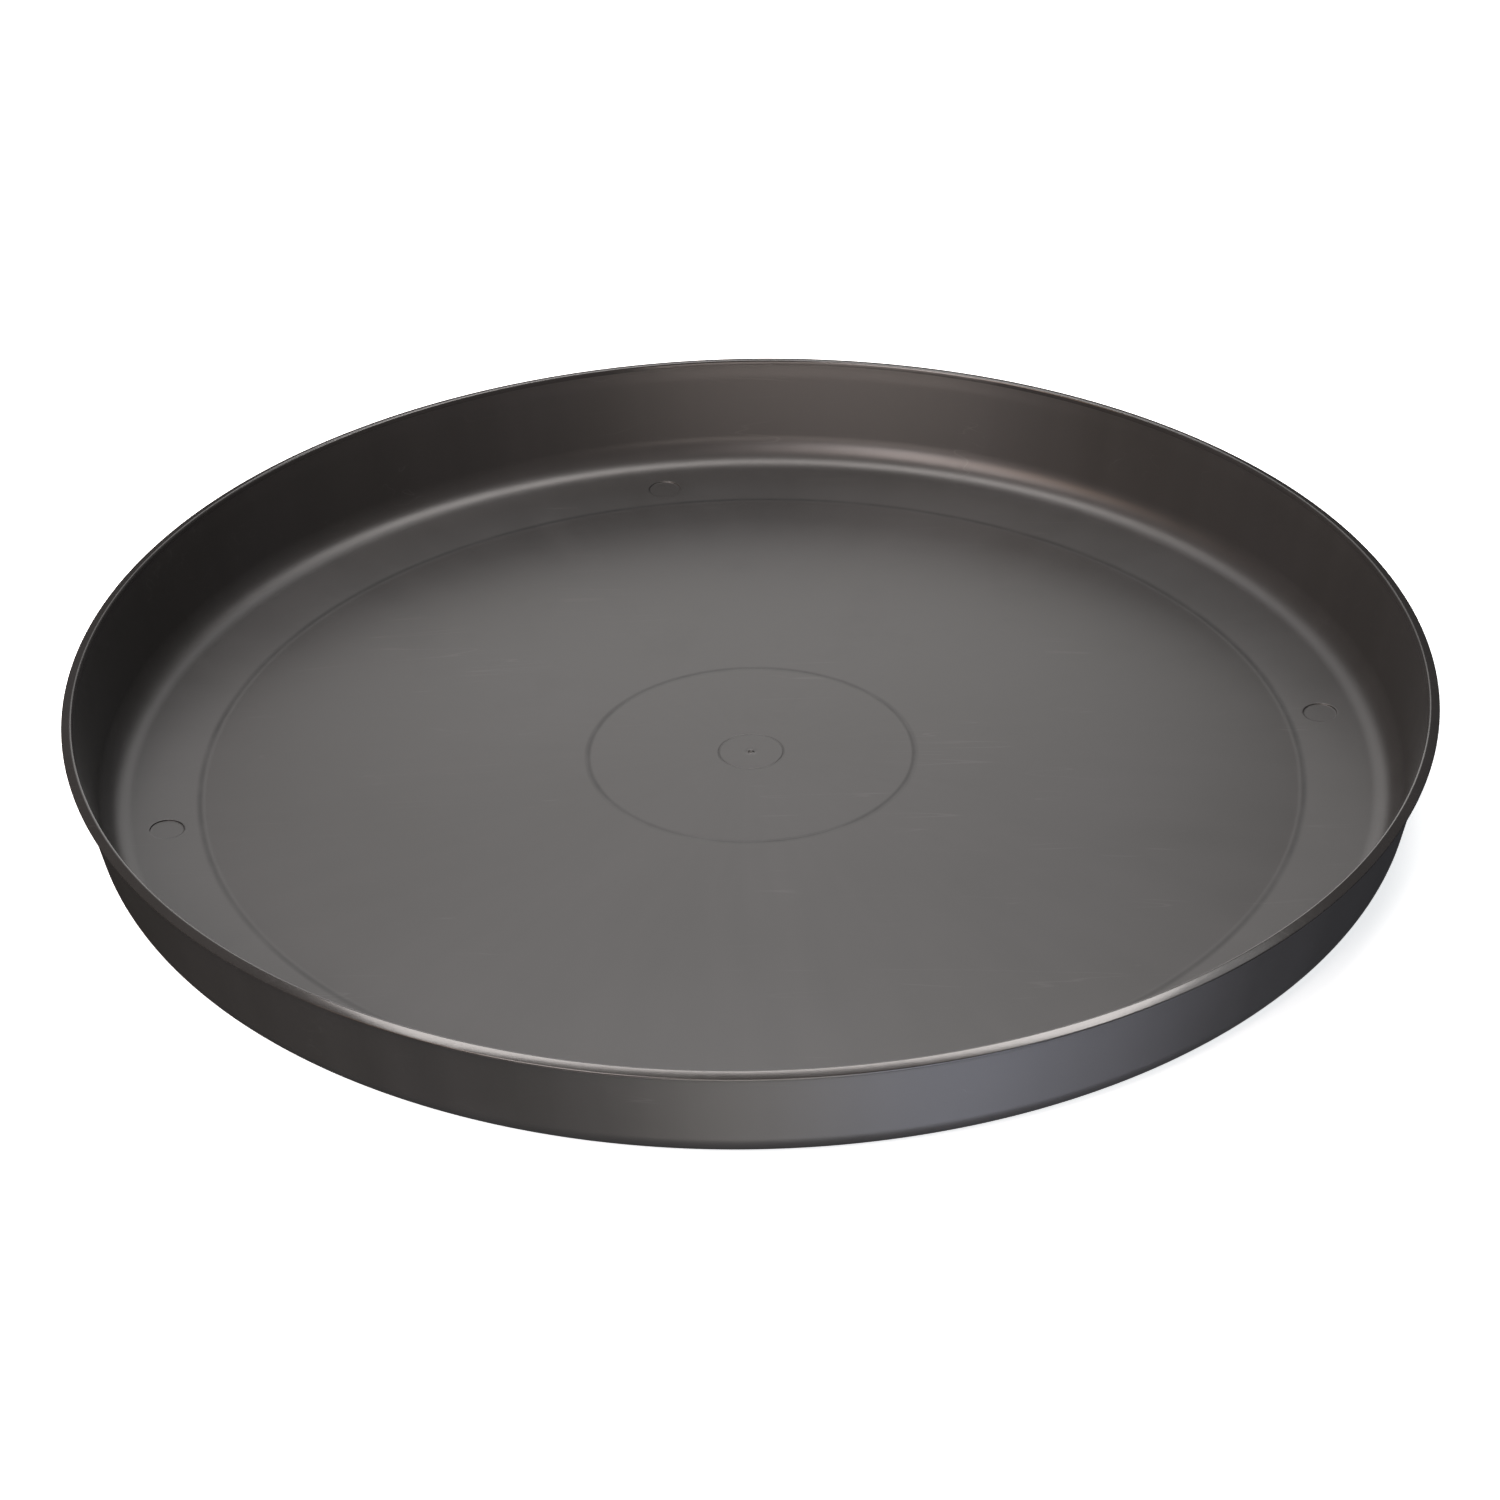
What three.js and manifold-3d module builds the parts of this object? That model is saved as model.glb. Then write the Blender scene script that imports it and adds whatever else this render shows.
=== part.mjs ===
// Round oil drain pan: one injection-moulded shell with a crowned floor, a flat foot ring,
// a coved corner, a drafted wall and a thin lip that overhangs the wall.
// Millimetres, +Z up. The origin is the centre of the base plane that the pan rests on.
import * as THREE from "three";
import { mergeVertices } from "three/addons/utils/BufferGeometryUtils.js";
import Module from "manifold-3d";

// Overall size
const RIM_DIAMETER = 610;
const HEIGHT = 51;

// Shell
const WALL = 2.6;
const DRAFT = THREE.MathUtils.degToRad(12.6);
const COVE_RADIUS = 14.6; // inside the pan, between floor and wall
const CORNER_RADIUS = 14.9; // outside the pan, between foot ring and wall

// Lip round the top of the wall
const LIP_OVERHANG = 2.8; // beyond the outside of the wall
const LIP_THICKNESS = 2;
const LIP_OUTER_ROUND = 1.8;
const LIP_INNER_ROUND = 1.5;

// Floor: a flat foot ring beside the cove, and a crowned middle
const FOOT_RING_WIDTH = 29.2;
const CROWN_RISE = 10; // height of the middle of the floor over its edge
const CROWN_STEP = 0.2; // the crown's edge sits this much lower than the foot ring

// Tool marks on the crown: two fine rings and the dimple that the sprue leaves
const GATE_RING_RADIUS = 73.3;
const SPRUE_RING_RADIUS = 14.5;
const RING_WIDTH = 1.4;
const RING_DEPTH = 0.25;
const DIMPLE_RADIUS = 3;
const DIMPLE_DEPTH = 0.8;

// Ejector pin marks: shallow round recesses in the foot ring
const EJECTOR_COUNT = 4;
const EJECTOR_INSET = 15; // from the edge of the cove to a mark's centre
const EJECTOR_MARK_RADIUS = 7.8;
const EJECTOR_MARK_DEPTH = 0.4;
const EJECTOR_FIRST_ANGLE = THREE.MathUtils.degToRad(8.7);

// Mesh fineness
const TURN_SEGMENTS = 72; // a multiple of four, so that the four sides reach the full diameter
const COVE_STEPS = 5;
const LIP_STEPS = 3;
const CROWN_STEPS = 6;
const EJECTOR_SEGMENTS = 24;

// Sizes that follow from the ones above
const RIM_RADIUS = RIM_DIAMETER / 2;
const LIP_UNDERSIDE = HEIGHT - LIP_THICKNESS;
const COVE_CENTRE_Z = WALL + COVE_RADIUS;
const COVE_CENTRE_R = wallInner(COVE_CENTRE_Z) - COVE_RADIUS / Math.cos(DRAFT);
const CORNER_CENTRE_R = wallOuter(CORNER_RADIUS) - CORNER_RADIUS / Math.cos(DRAFT);
const CROWN_RADIUS = COVE_CENTRE_R - FOOT_RING_WIDTH;
const EJECTOR_PITCH_RADIUS = COVE_CENTRE_R - EJECTOR_INSET;

// Radius of the wall's outer face at height z.
function wallOuter(z) {
  return RIM_RADIUS - LIP_OVERHANG - (LIP_UNDERSIDE - z) * Math.tan(DRAFT);
}

// Radius of the wall's inner face at height z.
function wallInner(z) {
  return wallOuter(z) - WALL / Math.cos(DRAFT);
}

// Height of the crown over its own edge at radius r: a parabola that is level in the middle.
function crownHeight(r) {
  return CROWN_RISE * (1 - (r / CROWN_RADIUS) ** 2);
}

// Height of the crown's upper face at radius r.
function crownTop(r) {
  return WALL - CROWN_STEP + crownHeight(r);
}

// Points of an arc about (centreR, centreZ), from one angle to another, both ends included.
function arc(centreR, centreZ, radius, from, to, steps) {
  const points = [];
  for (let i = 0; i <= steps; i++) {
    const angle = from + ((to - from) * i) / steps;
    points.push(
      new THREE.Vector2(
        centreR + radius * Math.cos(angle),
        centreZ + radius * Math.sin(angle),
      ),
    );
  }
  return points;
}

// The underside, from the axis out to the edge of the foot ring's flat face.
function undersidePoints() {
  const points = [];
  for (let i = 0; i <= CROWN_STEPS; i++) {
    const r = (CROWN_RADIUS * i) / CROWN_STEPS;
    points.push(new THREE.Vector2(r, crownHeight(r)));
  }
  return points;
}

// The outside corner and the outer face of the wall, up to the lip's underside.
function outsidePoints() {
  const points = arc(
    CORNER_CENTRE_R,
    CORNER_RADIUS,
    CORNER_RADIUS,
    -Math.PI / 2,
    -DRAFT,
    COVE_STEPS,
  );
  points.push(new THREE.Vector2(wallOuter(LIP_UNDERSIDE), LIP_UNDERSIDE));
  return points;
}

// The lip, from its lower outer edge over the top to the inner face of the wall.
function lipPoints() {
  const innerRoundZ = HEIGHT - LIP_INNER_ROUND;
  const innerRoundR = wallInner(innerRoundZ) + LIP_INNER_ROUND / Math.cos(DRAFT);
  return [
    new THREE.Vector2(RIM_RADIUS, LIP_UNDERSIDE),
    ...arc(
      RIM_RADIUS - LIP_OUTER_ROUND,
      HEIGHT - LIP_OUTER_ROUND,
      LIP_OUTER_ROUND,
      0,
      Math.PI / 2,
      LIP_STEPS,
    ),
    ...arc(
      innerRoundR,
      innerRoundZ,
      LIP_INNER_ROUND,
      Math.PI / 2,
      Math.PI - DRAFT,
      LIP_STEPS,
    ),
  ];
}

// The cove inside the pan, from the wall down to the flat top of the foot ring.
function covePoints() {
  return arc(
    COVE_CENTRE_R,
    COVE_CENTRE_Z,
    COVE_RADIUS,
    -DRAFT,
    -Math.PI / 2,
    COVE_STEPS,
  );
}

// A fine V-shaped ring in the crown, walked from its outer edge to its inner edge.
function ringPoints(radius) {
  const outer = radius + RING_WIDTH / 2;
  const inner = radius - RING_WIDTH / 2;
  return [
    new THREE.Vector2(outer, crownTop(outer)),
    new THREE.Vector2(radius, crownTop(radius) - RING_DEPTH),
    new THREE.Vector2(inner, crownTop(inner)),
  ];
}

// The crown's upper face, from the step at its edge in to the axis.
function crownPoints() {
  const points = [new THREE.Vector2(CROWN_RADIUS, WALL)];
  for (let i = CROWN_STEPS; i > 0; i--) {
    const r = (CROWN_RADIUS * i) / CROWN_STEPS;
    if (r > GATE_RING_RADIUS + RING_WIDTH) {
      points.push(new THREE.Vector2(r, crownTop(r)));
    }
  }
  points.push(...ringPoints(GATE_RING_RADIUS));
  points.push(...ringPoints(SPRUE_RING_RADIUS));
  points.push(new THREE.Vector2(DIMPLE_RADIUS, crownTop(DIMPLE_RADIUS)));
  points.push(new THREE.Vector2(0, crownTop(0) - DIMPLE_DEPTH));
  return points;
}

// The shell's half section, walked from the axis under the pan to the axis inside it.
function shellProfile() {
  return [
    ...undersidePoints(),
    ...outsidePoints(),
    ...lipPoints(),
    ...covePoints(),
    ...crownPoints(),
  ];
}

// The shell with no ejector marks. LatheGeometry turns about Y, so it is stood up on Z.
function shellGeometry() {
  return new THREE.LatheGeometry(shellProfile(), TURN_SEGMENTS).rotateX(
    Math.PI / 2,
  );
}

// The tool that cuts one ejector mark, at its place in the foot ring.
function ejectorCutterGeometry(index) {
  const height = 2 * EJECTOR_MARK_DEPTH; // half of it stands clear above the floor
  const angle = EJECTOR_FIRST_ANGLE + (index * 2 * Math.PI) / EJECTOR_COUNT;
  return new THREE.CylinderGeometry(
    EJECTOR_MARK_RADIUS,
    EJECTOR_MARK_RADIUS,
    height,
    EJECTOR_SEGMENTS,
  )
    .rotateX(Math.PI / 2)
    .translate(
      EJECTOR_PITCH_RADIUS * Math.cos(angle),
      EJECTOR_PITCH_RADIUS * Math.sin(angle),
      WALL,
    );
}

// A closed three.js geometry as a manifold-3d solid.
function toSolid(wasm, geometry) {
  const bare = geometry.clone();
  bare.deleteAttribute("normal");
  bare.deleteAttribute("uv");
  const merged = mergeVertices(bare, 1e-4);
  return new wasm.Manifold(
    new wasm.Mesh({
      numProp: 3,
      vertProperties: new Float32Array(merged.attributes.position.array),
      triVerts: new Uint32Array(merged.index.array),
    }),
  );
}

// A manifold-3d solid as a three.js geometry.
function toGeometry(solid) {
  const mesh = solid.getMesh();
  const geometry = new THREE.BufferGeometry();
  geometry.setAttribute(
    "position",
    new THREE.BufferAttribute(new Float32Array(mesh.vertProperties), 3),
  );
  geometry.setIndex(new THREE.BufferAttribute(new Uint32Array(mesh.triVerts), 1));
  geometry.computeVertexNormals();
  return geometry;
}

// The whole pan: the turned shell, less its ejector marks.
function panGeometry(wasm) {
  let pan = toSolid(wasm, shellGeometry());
  for (let i = 0; i < EJECTOR_COUNT; i++) {
    pan = pan.subtract(toSolid(wasm, ejectorCutterGeometry(i)));
  }
  return toGeometry(pan);
}

const wasm = await Module();
wasm.setup();

const charcoalPlastic = new THREE.MeshStandardMaterial({
  color: 0x3d3b39,
  roughness: 0.42,
  metalness: 0,
});

const pan = new THREE.Mesh(panGeometry(wasm), charcoalPlastic);
pan.name = "pan_body";

const group = new THREE.Group();
group.name = "oil_drain_pan";
group.add(pan);

export default group;
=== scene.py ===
import math

import bmesh
import bpy
from mathutils import Matrix, Vector
from mathutils.geometry import delaunay_2d_cdt


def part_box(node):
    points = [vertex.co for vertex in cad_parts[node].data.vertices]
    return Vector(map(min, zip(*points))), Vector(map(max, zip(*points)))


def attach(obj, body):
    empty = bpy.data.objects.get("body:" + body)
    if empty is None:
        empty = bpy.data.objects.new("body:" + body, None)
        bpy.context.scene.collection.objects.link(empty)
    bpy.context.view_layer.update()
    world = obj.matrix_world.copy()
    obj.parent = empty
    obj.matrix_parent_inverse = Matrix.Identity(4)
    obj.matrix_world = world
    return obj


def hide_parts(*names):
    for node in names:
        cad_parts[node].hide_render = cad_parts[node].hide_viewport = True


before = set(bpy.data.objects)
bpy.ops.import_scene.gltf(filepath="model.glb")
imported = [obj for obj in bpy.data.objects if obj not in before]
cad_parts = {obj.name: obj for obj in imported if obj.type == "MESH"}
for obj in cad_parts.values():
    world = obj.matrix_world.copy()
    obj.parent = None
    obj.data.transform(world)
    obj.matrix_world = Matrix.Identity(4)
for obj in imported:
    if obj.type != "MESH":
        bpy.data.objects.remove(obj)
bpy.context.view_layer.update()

MM = 0.001
NODE = "pan_body"

# Overall size, from the CAD model
LOW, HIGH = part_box(NODE)
RIM_RADIUS = HIGH[0]
HEIGHT = HIGH[2]

# Shell, as in the CAD model
WALL = 2.6 * MM
DRAFT = math.radians(12.6)
COVE_RADIUS = 14.6 * MM
CORNER_RADIUS = 14.9 * MM
FOOT_RING_WIDTH = 29.2 * MM
CROWN_RISE = 10 * MM
CROWN_STEP = 0.2 * MM

# Lip
LIP_OVERHANG = 2.8 * MM
LIP_THICKNESS = 2 * MM
LIP_EDGE_ROUND = 0.25 * MM
BRIM_SLOPE = math.radians(20)  # the brim falls outwards from the crest
BRIM_EDGE_ROUND = 0.5 * MM
CREST_ROUND = 1.1 * MM
LIP_NECK_ROUND = 0.5 * MM  # the fillet between the lip's underside and the wall
FLARE_HEIGHT = 7 * MM  # the inner wall opens out slightly just under the lip
FLARE_DEPTH = 0.22 * MM

# Parting line round the outside of the wall, just under the lip
PARTING_DROP = 2.6 * MM
PARTING_WIDTH = 0.5 * MM
PARTING_HEIGHT = 0.12 * MM

# Tool marks on the crown
GATE_RING_RADIUS = 73.3 * MM
SPRUE_RING_RADIUS = 14.5 * MM
GATE_RING_WIDTH = 2.8 * MM
GATE_RING_DEPTH = 0.1 * MM
SPRUE_RING_WIDTH = 1.2 * MM
SPRUE_RING_DEPTH = 0.12 * MM
STEP_WIDTH = 4 * MM
STEP_GROOVE_INSET = 1 * MM  # a faint groove lies along the step
STEP_GROOVE_WIDTH = 3 * MM
STEP_GROOVE_DEPTH = 0.05 * MM
DIMPLE_RADIUS = 3.4 * MM
DIMPLE_DEPTH = 0.35 * MM
NUB_RADIUS = 1.9 * MM  # what is left of the sprue, in the middle of the dimple
NUB_HEIGHT = 0.95 * MM

# Ejector pin marks in the foot ring
EJECTOR_COUNT = 4
EJECTOR_INSET = 15 * MM
EJECTOR_RADIUS = 7.8 * MM
EJECTOR_DEPTH = 0.6 * MM
EJECTOR_WALL = 0.35 * MM
EJECTOR_FIRST_ANGLE = math.radians(8.7)

# Mesh fineness
TURN_SEGMENTS = 480
COVE_STEPS = 20
ROUND_STEPS = 8
WALL_STEPS = 12
CROWN_STEPS = 60
RING_STEPS = 12
EJECTOR_SEGMENTS = 64
SUPPORT = 0.6 * MM  # narrow bands beside each bend keep the shading of the flats true
FILL_ALL = 0  # the output of delaunay_2d_cdt that has every triangle inside the outline
FILL_TOLERANCE = 1e-9

# Plastic: scales are in features a metre, heights in metres, tones and roughness run from 0 to 1
REFRACTION = 1.5
FLOW_SCALE = 14.0
CLOUD_SCALE = 9.0
SMEAR_SCALE = 28.0
PEEL_SCALE = 260.0
GRAIN_SCALE = 1900.0
SOFT_DETAIL = 3.0
SMEAR_DETAIL = 4.0
SMEAR_ROUGHNESS = 0.65
PEEL_HEIGHT = 0.012 * MM
GRAIN_HEIGHT = 0.006 * MM
BASE_TONE = 0.022
CLOUD_TONE = 0.008
FLOW_TONE = 0.006
CLOUD_BLUE = 0.1
ROUGHNESS = 0.38
FLOW_ROUGHNESS = 0.04
CLOUD_ROUGHNESS = 0.04
LIP_ROUGHNESS = 0.16

# Wear, and painted shade along the grooves. Each range is the part of a noise, from 0 to 1, over
# which the wear or the painted shade comes up.
SCRATCHES = ((35, 55.0, 0.006), (115, 70.0, 0.005))  # angle in degrees, scale, half width
SCRATCH_STRETCH = 0.04
SCRATCH_PATCH_SCALE = 13.0
SCRATCH_RANGE = (0.56, 0.66)
SCRATCH_TONE = 0.012
SCRATCH_DEPTH = 0.004 * MM
SCUFF_RANGE = (0.52, 0.7)
SCUFF_ROUGHNESS = 0.02
FOOT_WEAR_HEIGHT = 0.6 * MM
FOOT_WEAR_TONE = 0.03
FOOT_WEAR_ROUGHNESS = 0.15
# Painted shade: the tone is darkened along the gate ring, the sprue ring and the crown's step groove.
GROOVE_SHADE_WIDTH = 4.5 * MM
GROOVE_SHADE_RANGE = (0.3, 0.7)
GROOVE_SHADE_LEAST = 0.5  # where the smears are thin, the painted groove shade still has this share of its strength
GROOVE_SHADE_DARKENING = 0.85
GROOVE_ROUGHNESS = 0.09

# Floor
FLOOR_HALF_WIDTH = 6
FLOOR_COLOR = (0.9, 0.9, 0.9, 1)
FLOOR_GLOW_COLOR = (0.95, 0.98, 1, 1)
FLOOR_GLOW = 0.75

# Camera
SENSOR_WIDTH = 36
LENS = 130.25
CAMERA_DISTANCE = 8 * RIM_RADIUS
CAMERA_ELEVATION = math.radians(32.30)
CAMERA_PAN = math.radians(-0.011)
CAMERA_TILT = math.radians(0.261)
CAMERA_ROLL = math.radians(-1.135)

# Studio: soft boxes on a dome round the pan. Azimuth 0 is over the camera, 90 is on the right.
# Each row is a name, azimuth, elevation, width and height in degrees, brightness and colour.
# The bounce boxes are below the floor, which lets their light through.
ROOM_GLOW = 0.02
DOME_RADIUS = 4
SOFTBOXES = (
    ("back_low", 180, 15, 30, 30, 1.95, (1.03, 1.0, 0.98)),
    ("back_mid", 190, 38, 45, 16, 1.1, (1.0, 0.98, 0.97)),
    ("back_high", 180, 55, 45, 18, 2.4, (0.98, 1.0, 1.03)),
    ("top_back", 178, 71, 105, 14, 12.5, (1.05, 0.99, 0.96)),
    ("top_right", 125, 60, 30, 20, 2.0, (1.0, 1.0, 1.0)),
    ("key_low", -13, 7, 60, 14, 6.0, (1.14, 0.98, 0.9)),
    ("key_high", -30, 38, 30, 16, 13.4, (1.08, 0.97, 0.95)),
    ("key_top", -45, 55, 45, 18, 11.4, (1.12, 0.97, 0.92)),
    ("key_left", -60, 38, 30, 16, 3.2, (1.46, 0.92, 0.62)),
    ("front_bounce", 0, -35, 30, 30, 7.5, (1.07, 1.01, 0.92)),
    ("right_bounce", 30, -35, 30, 30, 8.4, (0.91, 0.95, 1.14)),
    ("far_bounce", 60, -35, 30, 30, 2.5, (0.95, 0.95, 1.1)),
)

# Sizes that follow from the ones above
LIP_UNDERSIDE = HEIGHT - LIP_THICKNESS
COVE_CENTRE_Z = WALL + COVE_RADIUS


def wall_outer(z):
    """Radius of the wall's outer face at height z."""
    return RIM_RADIUS - LIP_OVERHANG - (LIP_UNDERSIDE - z) * math.tan(DRAFT)


def wall_inner(z):
    """Radius of the wall's inner face at height z, with the flare under the lip left out."""
    return wall_outer(z) - WALL / math.cos(DRAFT)


COVE_CENTRE_R = wall_inner(COVE_CENTRE_Z) - COVE_RADIUS / math.cos(DRAFT)
CORNER_CENTRE_R = wall_outer(CORNER_RADIUS) - CORNER_RADIUS / math.cos(DRAFT)
CROWN_RADIUS = COVE_CENTRE_R - FOOT_RING_WIDTH
EJECTOR_PITCH_RADIUS = COVE_CENTRE_R - EJECTOR_INSET


def crown_height(r):
    """Height of the crown over its own edge at radius r."""
    return CROWN_RISE * (1 - (r / CROWN_RADIUS) ** 2)


def smooth_step(t):
    """0 below 0, 1 above 1, and a smooth rise between."""
    t = min(max(t, 0), 1)
    return t * t * (3 - 2 * t)


def bump(x, centre, width):
    """A smooth bump of height 1 about a centre, as wide as width at its foot."""
    t = abs(x - centre) / (width / 2)
    return 0 if t >= 1 else (1 + math.cos(math.pi * t)) / 2


def crown_top(r):
    """Height of the crown's upper face at radius r, with its rings, dimple and edge step."""
    z = WALL - CROWN_STEP + crown_height(r)
    z += CROWN_STEP * smooth_step((r - CROWN_RADIUS + STEP_WIDTH) / STEP_WIDTH)
    z -= STEP_GROOVE_DEPTH * bump(r, CROWN_RADIUS - STEP_GROOVE_INSET, STEP_GROOVE_WIDTH)
    z -= GATE_RING_DEPTH * bump(r, GATE_RING_RADIUS, GATE_RING_WIDTH)
    z -= SPRUE_RING_DEPTH * bump(r, SPRUE_RING_RADIUS, SPRUE_RING_WIDTH)
    z += NUB_HEIGHT * (1 - smooth_step(r / NUB_RADIUS))
    return z - DIMPLE_DEPTH * (1 - smooth_step(r / DIMPLE_RADIUS))


def arc(centre_r, centre_z, radius, start, end, steps):
    """Points of an arc in the section plane, both ends included."""
    angles = [start + (end - start) * i / steps for i in range(steps + 1)]
    return [(centre_r + radius * math.cos(a), centre_z + radius * math.sin(a)) for a in angles]


def spread(start, end, steps):
    """Evenly spaced numbers from start to end, both included."""
    return [start + (end - start) * i / steps for i in range(steps + 1)]


def underside_points():
    """The underside, from near the axis to the outer edge of the flat foot ring."""
    radii = spread(0, CROWN_RADIUS, CROWN_STEPS)[1:]
    points = [(r, crown_height(r)) for r in radii]
    points.append((CROWN_RADIUS + SUPPORT, 0))
    points.append((CORNER_CENTRE_R - SUPPORT, 0))
    return points


def outer_wall_points():
    """The outside corner and the wall, up to the fillet under the lip."""
    points = arc(CORNER_CENTRE_R, CORNER_RADIUS, CORNER_RADIUS, -math.pi / 2, -DRAFT, COVE_STEPS)
    start = points[-1][1] + SUPPORT
    parting = LIP_UNDERSIDE - PARTING_DROP
    half = PARTING_WIDTH / 2
    heights = spread(start, parting - PARTING_WIDTH, WALL_STEPS)
    heights += spread(parting - half, parting + half, ROUND_STEPS)
    heights.append(parting + PARTING_WIDTH)
    for z in heights:
        points.append((wall_outer(z) + PARTING_HEIGHT * bump(z, parting, PARTING_WIDTH), z))
    return points


def lip_points():
    """The lip, from the fillet at its underside round its edge and over its top."""
    neck_z = LIP_UNDERSIDE - LIP_NECK_ROUND
    neck_r = wall_outer(neck_z) + LIP_NECK_ROUND / math.cos(DRAFT)
    points = arc(neck_r, neck_z, LIP_NECK_ROUND, math.pi - DRAFT, math.pi / 2, ROUND_STEPS)
    edge_r = RIM_RADIUS - LIP_EDGE_ROUND
    edge_z = LIP_UNDERSIDE + LIP_EDGE_ROUND
    points += arc(edge_r, edge_z, LIP_EDGE_ROUND, -math.pi / 2, 0, ROUND_STEPS)
    return points + brim_points()


def brim_points():
    """The top of the lip: a rounded edge, a brim that rises inwards, and a rounded crest."""
    facing = math.pi / 2 - BRIM_SLOPE
    crest_z = HEIGHT - CREST_ROUND
    crest_r = wall_inner(crest_z) + FLARE_DEPTH + CREST_ROUND / math.cos(DRAFT)
    edge_r = RIM_RADIUS - BRIM_EDGE_ROUND
    run = edge_r - crest_r + (BRIM_EDGE_ROUND - CREST_ROUND) * math.cos(facing)
    fall = run * math.tan(BRIM_SLOPE) + (BRIM_EDGE_ROUND - CREST_ROUND) * math.sin(facing)
    points = arc(edge_r, crest_z - fall, BRIM_EDGE_ROUND, 0, facing, ROUND_STEPS)
    return points + arc(crest_r, crest_z, CREST_ROUND, facing, math.pi - DRAFT, 2 * ROUND_STEPS)


def inner_wall_points():
    """The inner wall, down from the level of the lip's underside, and the cove to the foot ring."""
    flare_end = LIP_UNDERSIDE - FLARE_HEIGHT
    points = []
    for z in spread(LIP_UNDERSIDE, flare_end, WALL_STEPS):
        opening = FLARE_DEPTH * smooth_step((z - flare_end) / FLARE_HEIGHT)
        points.append((wall_inner(z) + opening, z))
    cove = arc(COVE_CENTRE_R, COVE_CENTRE_Z, COVE_RADIUS, -DRAFT, -math.pi / 2, COVE_STEPS)
    for z in spread(flare_end - SUPPORT, cove[0][1] + SUPPORT, WALL_STEPS):
        points.append((wall_inner(z), z))
    return points + cove + [(COVE_CENTRE_R - SUPPORT, WALL)]


def crown_radii():
    """Radii of the crown's upper face from its edge in, close together at each tool mark."""
    marks = (
        (CROWN_RADIUS - 2 * STEP_WIDTH, CROWN_RADIUS),
        (GATE_RING_RADIUS - GATE_RING_WIDTH, GATE_RING_RADIUS + GATE_RING_WIDTH),
        (SPRUE_RING_RADIUS - SPRUE_RING_WIDTH, SPRUE_RING_RADIUS + SPRUE_RING_WIDTH),
        (DIMPLE_RADIUS / RING_STEPS / 2, DIMPLE_RADIUS),
    )
    radii = set(spread(SPRUE_RING_RADIUS, CROWN_RADIUS, CROWN_STEPS))
    for first, last in marks:
        radii = {r for r in radii if r < first or r > last}
        radii.update(spread(first, last, 2 * RING_STEPS))
    return sorted(radii, reverse=True)


def make_ring(bm, r, z, count=TURN_SEGMENTS, centre=(0, 0)):
    """A ring of vertices at one radius and height."""
    step = 2 * math.pi / count
    ring = []
    for i in range(count):
        x = centre[0] + r * math.cos(i * step)
        y = centre[1] + r * math.sin(i * step)
        ring.append(bm.verts.new((x, y, z)))
    return ring


def bridge(bm, ring_a, ring_b):
    """Quads between two rings with as many vertices each."""
    count = len(ring_a)
    for i in range(count):
        j = (i + 1) % count
        bm.faces.new((ring_a[i], ring_a[j], ring_b[j], ring_b[i]))


def close_middle(bm, ring, z, centre=(0, 0)):
    """Triangles from a ring to one vertex in its middle."""
    middle = bm.verts.new((centre[0], centre[1], z))
    count = len(ring)
    for i in range(count):
        bm.faces.new((ring[i], ring[(i + 1) % count], middle))


def turn(bm, points):
    """Turns section points about the axis, and returns the first and last rings."""
    rings = [make_ring(bm, r, z) for r, z in points]
    for ring_a, ring_b in zip(rings, rings[1:]):
        bridge(bm, ring_a, ring_b)
    return rings[0], rings[-1]


def ejector_centres():
    """Centres of the ejector marks."""
    centres = []
    for i in range(EJECTOR_COUNT):
        angle = EJECTOR_FIRST_ANGLE + 2 * math.pi * i / EJECTOR_COUNT
        x = EJECTOR_PITCH_RADIUS * math.cos(angle)
        y = EJECTOR_PITCH_RADIUS * math.sin(angle)
        centres.append((x, y))
    return centres


def add_ejector_mark(bm, centre):
    """One shallow round recess. Returns the outermost ring, which lies on the foot ring."""
    bottom = WALL - EJECTOR_DEPTH
    outer = make_ring(bm, EJECTOR_RADIUS + SUPPORT, WALL, EJECTOR_SEGMENTS, centre)
    last = outer
    for t in spread(0, 1, RING_STEPS):
        r = EJECTOR_RADIUS - EJECTOR_WALL * t
        ring = make_ring(bm, r, WALL - EJECTOR_DEPTH * smooth_step(t), EJECTOR_SEGMENTS, centre)
        bridge(bm, last, ring)
        last = ring
    flat_radius = EJECTOR_RADIUS - EJECTOR_WALL - SUPPORT
    flat_ring = make_ring(bm, flat_radius, bottom, EJECTOR_SEGMENTS, centre)
    bridge(bm, last, flat_ring)
    close_middle(bm, flat_ring, bottom, centre)
    return outer


def loop_edges(first, count):
    """Index pairs round a closed loop of vertices."""
    return [(first + i, first + (i + 1) % count) for i in range(count)]


def fill_foot_ring(bm, outer_ring, inner_ring):
    """The flat top of the foot ring, triangulated round the crown and the ejector marks."""
    holes = [inner_ring] + [add_ejector_mark(bm, centre) for centre in ejector_centres()]
    loops = [outer_ring] + holes
    verts = [v for loop in loops for v in loop]
    owner = [number for number, loop in enumerate(loops) for _ in loop]
    edges = []
    for loop in loops:
        edges += loop_edges(len(edges), len(loop))
    flat = [Vector((v.co.x, v.co.y)) for v in verts]
    made = delaunay_2d_cdt(flat, edges, [], FILL_ALL, FILL_TOLERANCE)
    faces, sources = made[2], made[3]
    for face in faces:
        corners = [sources[i][0] for i in face]
        owners = {owner[i] for i in corners}
        if len(owners) == 1 and 0 not in owners:
            continue  # it lies inside a hole
        bm.faces.new([verts[i] for i in corners])


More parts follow.
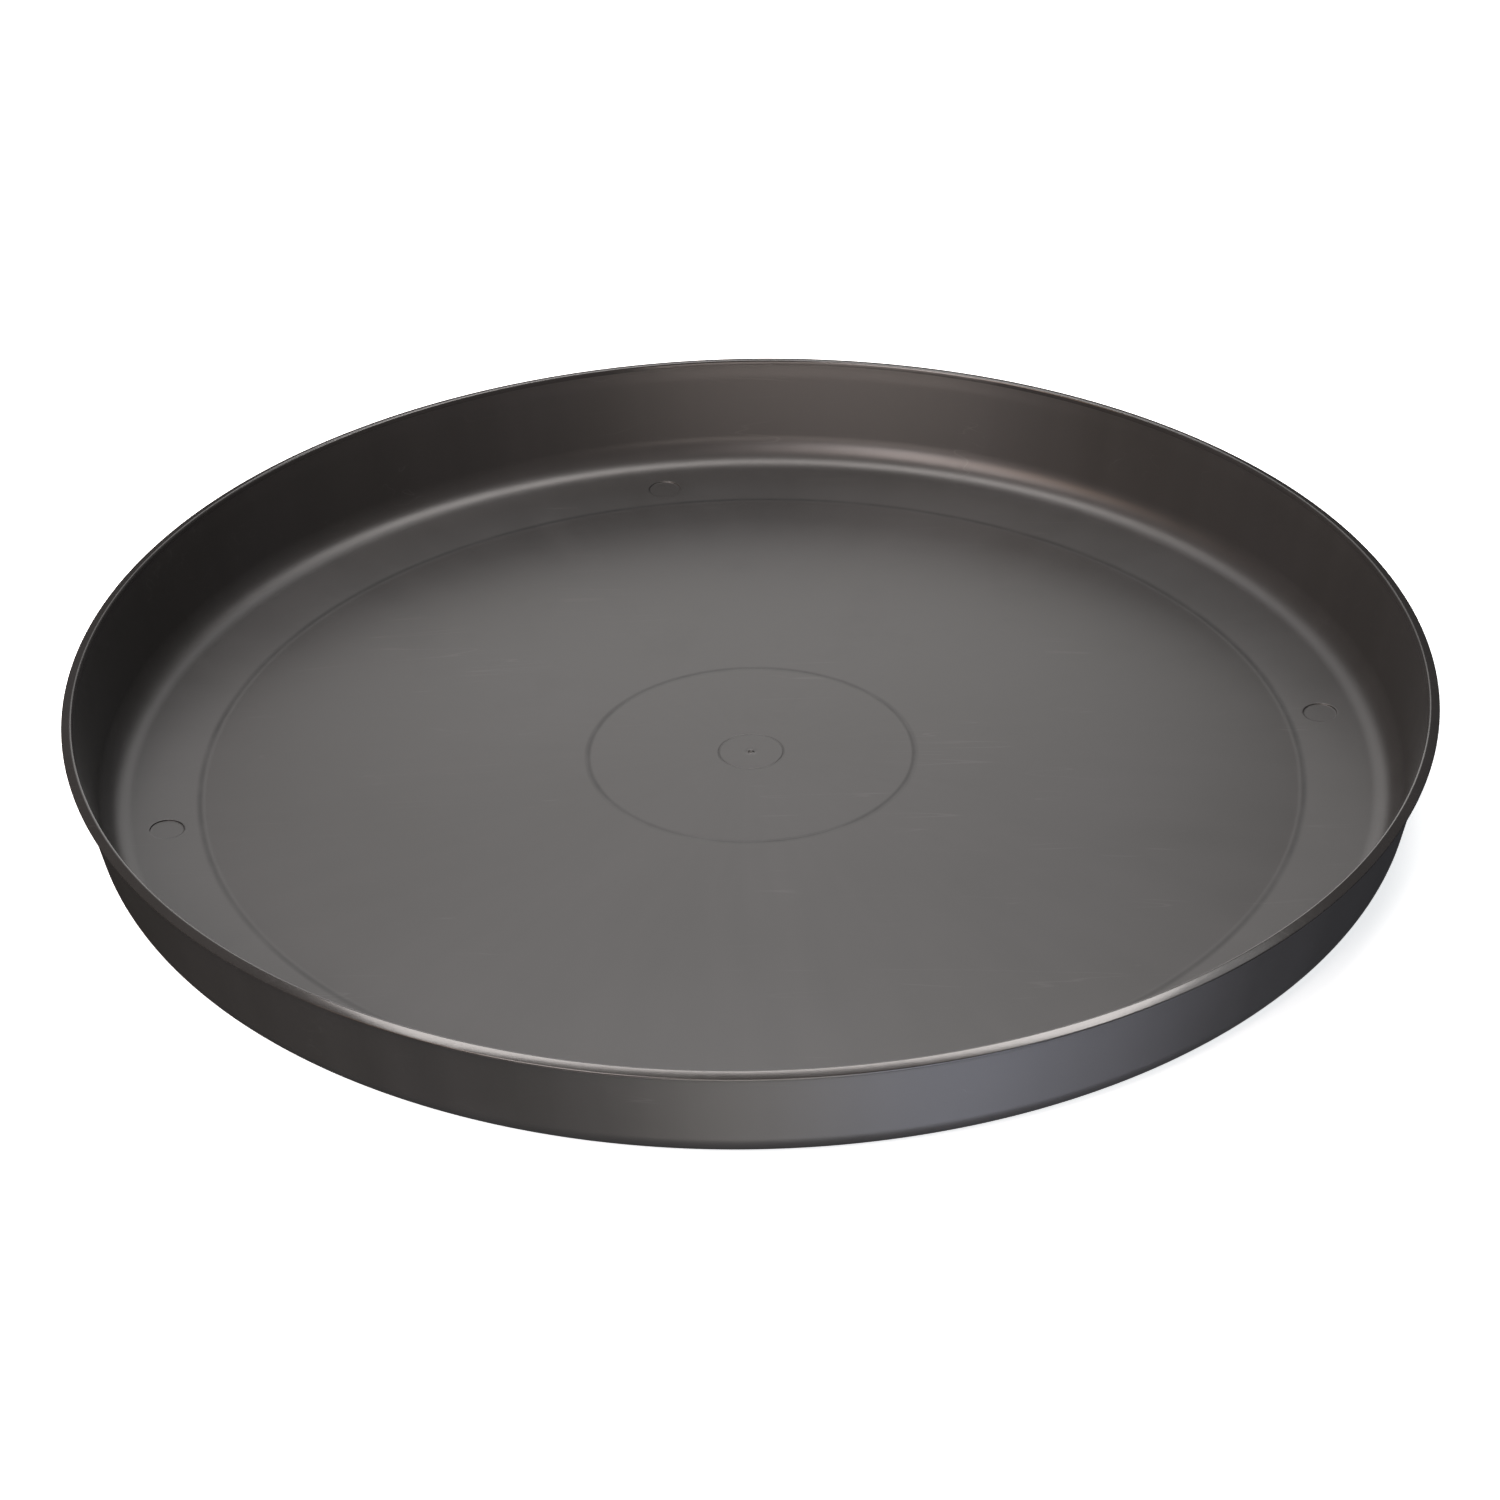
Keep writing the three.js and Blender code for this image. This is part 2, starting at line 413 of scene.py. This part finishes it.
def make_shell():
    """The pan's shell as one closed, smooth mesh."""
    bm = bmesh.new()
    outside = underside_points() + outer_wall_points() + lip_points() + inner_wall_points()
    first, foot_outer = turn(bm, outside)
    close_middle(bm, first, CROWN_RISE)
    crown = [(CROWN_RADIUS + SUPPORT, WALL)]
    crown += [(r, crown_top(r)) for r in crown_radii()]
    foot_inner, last = turn(bm, crown)
    close_middle(bm, last, crown_top(0))
    fill_foot_ring(bm, foot_outer, foot_inner)
    bmesh.ops.recalc_face_normals(bm, faces=bm.faces)
    if bm.calc_volume(signed=True) < 0:
        bmesh.ops.reverse_faces(bm, faces=bm.faces)
    mesh = bpy.data.meshes.new("pan_shell")
    bm.to_mesh(mesh)
    bm.free()
    mesh.shade_smooth()
    shell = bpy.data.objects.new("pan_shell", mesh)
    bpy.context.scene.collection.objects.link(shell)
    return shell


class NodeGraph:
    """A short way to add and link shader nodes."""

    def __init__(self, material):
        material.use_nodes = True
        self.tree = material.node_tree
        self.shader = self.tree.nodes["Principled BSDF"]

    def add(self, kind, settings=None, **inputs):
        """A node with its settings, and its inputs set. A key such as i2 means input number 2."""
        node = self.tree.nodes.new(kind)
        for name, value in (settings or {}).items():
            setattr(node, name, value)
        for key, value in inputs.items():
            numbered = key[0] == "i" and key[1:].isdigit()
            socket = node.inputs[int(key[1:]) if numbered else key]
            self.feed(socket, value)
        return node

    def feed(self, socket, value):
        """Links a socket to another, or sets it to a value."""
        if isinstance(value, bpy.types.NodeSocket):
            self.tree.links.new(value, socket)
        else:
            socket.default_value = value

    def maths(self, operation, *values):
        """A Math node's result."""
        node = self.tree.nodes.new("ShaderNodeMath")
        node.operation = operation
        for socket, value in zip(node.inputs, values):
            self.feed(socket, value)
        return node.outputs[0]

    def vary(self, value, noise, amount):
        """A value that a noise moves up and down, by the amount in all."""
        return self.maths("MULTIPLY_ADD", noise, amount, self.maths("SUBTRACT", value, amount / 2))

    def noise(self, vector, scale, detail=2.0, roughness=0.5):
        """A Noise texture's value, about 0.5 on average."""
        inputs = {"Vector": vector, "Scale": scale, "Detail": detail, "Roughness": roughness}
        return self.add("ShaderNodeTexNoise", **inputs).outputs["Fac"]

    def ramp(self, value, low, high, to_low=0.0, to_high=1.0):
        """A value carried smoothly from one range to another, and clamped."""
        settings = {"interpolation_type": "SMOOTHSTEP"}
        inputs = {"i0": value, "i1": low, "i2": high, "i3": to_low, "i4": to_high}
        return self.add("ShaderNodeMapRange", settings, **inputs).outputs[0]


def add_place(graph):
    """The place on the pan: position, radius, height, and a vector for radial streaks."""
    position = graph.add("ShaderNodeTexCoord").outputs["Object"]
    parts = graph.add("ShaderNodeSeparateXYZ", Vector=position).outputs
    level = graph.add("ShaderNodeCombineXYZ", X=parts["X"], Y=parts["Y"], Z=0.0).outputs[0]
    radius = graph.add("ShaderNodeVectorMath", {"operation": "LENGTH"}, i0=level).outputs["Value"]
    around = graph.add("ShaderNodeVectorMath", {"operation": "NORMALIZE"}, i0=level).outputs["Vector"]
    turned = graph.add("ShaderNodeSeparateXYZ", Vector=around).outputs
    streak = graph.add("ShaderNodeCombineXYZ", X=turned["X"], Y=turned["Y"], Z=radius).outputs[0]
    return position, radius, parts["Z"], streak


def add_ring(graph, radius, centre, width):
    """A soft ring round the axis: 1 at its middle, 0 beside it."""
    beside = graph.maths("ABSOLUTE", graph.maths("SUBTRACT", radius, centre))
    return graph.ramp(beside, 0.0, width / 2, 1.0, 0.0)


def add_groove_shade(graph, radius, height, smear):
    """Painted shade in the gate and sprue rings and along the crown's step groove, uneven, and none
    under the foot ring.
    """
    gate = add_ring(graph, radius, GATE_RING_RADIUS, GROOVE_SHADE_WIDTH)
    sprue = add_ring(graph, radius, SPRUE_RING_RADIUS, GROOVE_SHADE_WIDTH / 2)
    step = add_ring(graph, radius, CROWN_RADIUS - STEP_GROOVE_INSET, GROOVE_SHADE_WIDTH)
    rings = graph.maths("MAXIMUM", graph.maths("MAXIMUM", gate, sprue), step)
    off_foot = graph.ramp(height, WALL / 2, WALL * 0.9)
    uneven = graph.ramp(smear, *GROOVE_SHADE_RANGE, GROOVE_SHADE_LEAST, 1.0)
    return graph.maths("MULTIPLY", graph.maths("MULTIPLY", rings, off_foot), uneven)


def add_scratches(graph, position, angle, scale, half_width):
    """Thin scratches in one direction, broken into strokes: 1 on a scratch, 0 beside it."""
    turn_by = (0, 0, math.radians(angle))
    stretch = (SCRATCH_STRETCH, 1, 1)
    along = graph.add("ShaderNodeMapping", Vector=position, Rotation=turn_by, Scale=stretch)
    lines = graph.noise(along.outputs[0], scale)
    beside = graph.maths("ABSOLUTE", graph.maths("SUBTRACT", lines, 0.5))
    line = graph.ramp(beside, 0.0, half_width, 1.0, 0.0)
    patches = graph.noise(position, SCRATCH_PATCH_SCALE * (1 + angle / 180))
    strokes = graph.ramp(patches, *SCRATCH_RANGE)
    return graph.maths("MULTIPLY", line, strokes)


def make_plastic():
    """Satin charcoal plastic: moulded grain, radial flow marks, painted shade in the grooves, wear
    and a smoother lip.
    """
    material = bpy.data.materials.new("charcoal_plastic")
    graph = NodeGraph(material)
    position, radius, height, streak = add_place(graph)
    graph.shader.inputs["IOR"].default_value = REFRACTION

    flow = graph.noise(streak, FLOW_SCALE, SOFT_DETAIL)
    cloud = graph.noise(position, CLOUD_SCALE, SOFT_DETAIL)
    smear = graph.noise(position, SMEAR_SCALE, SMEAR_DETAIL, SMEAR_ROUGHNESS)
    peel = graph.noise(position, PEEL_SCALE)
    grain = graph.noise(position, GRAIN_SCALE)
    sets = [add_scratches(graph, position, *scratches) for scratches in SCRATCHES]
    scratches = graph.maths("MAXIMUM", *sets)
    scuff = graph.ramp(smear, *SCUFF_RANGE)
    foot = graph.ramp(height, 0.0, FOOT_WEAR_HEIGHT, 1.0, 0.0)
    wear = graph.maths("MULTIPLY", foot, scuff)
    groove_shade = add_groove_shade(graph, radius, height, smear)
    lip = graph.ramp(height, LIP_UNDERSIDE - LIP_NECK_ROUND, LIP_UNDERSIDE)

    tone = graph.vary(BASE_TONE, cloud, CLOUD_TONE)
    tone = graph.vary(tone, flow, FLOW_TONE)
    tone = graph.maths("MULTIPLY_ADD", scratches, SCRATCH_TONE, tone)
    tone = graph.maths("MULTIPLY_ADD", wear, FOOT_WEAR_TONE, tone)
    # Painted shade: the tone is darkened along the grooves.
    tone = graph.maths("MULTIPLY", tone, graph.maths("MULTIPLY_ADD", groove_shade, -GROOVE_SHADE_DARKENING, 1.0))
    blue = graph.maths("MULTIPLY", tone, graph.vary(1.0, cloud, CLOUD_BLUE))
    color = graph.add("ShaderNodeCombineColor", Red=tone, Green=tone, Blue=blue).outputs[0]
    graph.feed(graph.shader.inputs["Base Color"], color)

    rough = graph.vary(ROUGHNESS, flow, FLOW_ROUGHNESS)
    rough = graph.vary(rough, cloud, CLOUD_ROUGHNESS)
    rough = graph.maths("MULTIPLY_ADD", scuff, SCUFF_ROUGHNESS, rough)
    rough = graph.maths("MULTIPLY_ADD", wear, FOOT_WEAR_ROUGHNESS, rough)
    rough = graph.maths("MULTIPLY_ADD", groove_shade, GROOVE_ROUGHNESS, rough)
    rough = graph.maths("MULTIPLY_ADD", lip, LIP_ROUGHNESS - ROUGHNESS, rough)
    graph.feed(graph.shader.inputs["Roughness"], rough)

    relief = graph.maths("MULTIPLY", peel, PEEL_HEIGHT)
    relief = graph.maths("MULTIPLY_ADD", grain, GRAIN_HEIGHT, relief)
    relief = graph.maths("MULTIPLY_ADD", scratches, -SCRATCH_DEPTH, relief)
    bumps = graph.add("ShaderNodeBump", Height=relief, Distance=1.0, Strength=1.0)
    graph.feed(graph.shader.inputs["Normal"], bumps.outputs["Normal"])
    return material


def make_floor():
    """The plain pale floor that the pan stands on."""
    mesh = bpy.data.meshes.new("floor")
    half = FLOOR_HALF_WIDTH
    corners = [(-half, -half, 0), (half, -half, 0), (half, half, 0), (-half, half, 0)]
    mesh.from_pydata(corners, [], [(0, 1, 2, 3)])
    floor = bpy.data.objects.new("floor", mesh)
    bpy.context.scene.collection.objects.link(floor)
    material = bpy.data.materials.new("pale_floor")
    material.use_nodes = True
    shader = material.node_tree.nodes["Principled BSDF"]
    shader.inputs["Base Color"].default_value = FLOOR_COLOR
    shader.inputs["Roughness"].default_value = 1
    shader.inputs["Specular IOR Level"].default_value = 0
    shader.inputs["Emission Color"].default_value = FLOOR_GLOW_COLOR
    shader.inputs["Emission Strength"].default_value = FLOOR_GLOW
    mesh.materials.append(material)
    floor.visible_diffuse = False
    floor.visible_glossy = False
    floor.visible_shadow = False


def make_camera():
    """The camera in front of the pan, looking down into it."""
    data = bpy.data.cameras.new("camera")
    data.sensor_width = SENSOR_WIDTH
    data.lens = LENS
    camera = bpy.data.objects.new("camera", data)
    bpy.context.scene.collection.objects.link(camera)
    place = Vector((0, -math.cos(CAMERA_ELEVATION), math.sin(CAMERA_ELEVATION))) * CAMERA_DISTANCE
    forward = -place.normalized()
    right = Vector((1, 0, 0))
    up = right.cross(forward)
    forward = (forward + math.tan(CAMERA_PAN) * right + math.tan(CAMERA_TILT) * up).normalized()
    right = forward.cross(Vector((0, 0, 1))).normalized()
    up = right.cross(forward)
    axis_x = math.cos(CAMERA_ROLL) * right + math.sin(CAMERA_ROLL) * up
    axis_y = -math.sin(CAMERA_ROLL) * right + math.cos(CAMERA_ROLL) * up
    turned = Matrix((axis_x, axis_y, -forward)).transposed().to_4x4()
    camera.matrix_world = Matrix.Translation(place) @ turned
    bpy.context.scene.camera = camera


def make_softbox(name, azimuth, elevation, wide, high, brightness, color):
    """An area light on the dome that faces the pan."""
    lift = math.radians(elevation)
    around = math.radians(azimuth)
    data = bpy.data.lights.new(name, "AREA")
    data.shape = "RECTANGLE"
    data.size = 2 * DOME_RADIUS * math.tan(math.radians(wide / 2)) * math.cos(lift)
    data.size_y = 2 * DOME_RADIUS * math.tan(math.radians(high / 2))
    data.energy = math.pi * data.size * data.size_y * brightness
    data.color = color
    light = bpy.data.objects.new(name, data)
    bpy.context.scene.collection.objects.link(light)
    level = math.cos(lift)
    direction = Vector((math.sin(around) * level, -math.cos(around) * level, math.sin(lift)))
    light.location = direction * DOME_RADIUS
    light.rotation_euler = direction.to_track_quat("Z", "Y").to_euler()
    light.visible_camera = False


def make_lights():
    """The soft boxes, in a dim room."""
    world = bpy.data.worlds.new("studio")
    bpy.context.scene.world = world
    world.use_nodes = True
    background = world.node_tree.nodes["Background"]
    background.inputs["Color"].default_value = (1, 1, 1, 1)
    background.inputs["Strength"].default_value = ROOM_GLOW
    for box in SOFTBOXES:
        make_softbox(*box)


def main():
    """Builds the pan round its CAD node, and the studio."""
    shell = make_shell()
    shell.data.materials.append(make_plastic())
    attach(shell, "root")
    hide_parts(NODE)
    make_floor()
    make_camera()
    make_lights()
    bpy.context.scene.view_settings.view_transform = "Standard"


main()
bpy.context.view_layer.update()
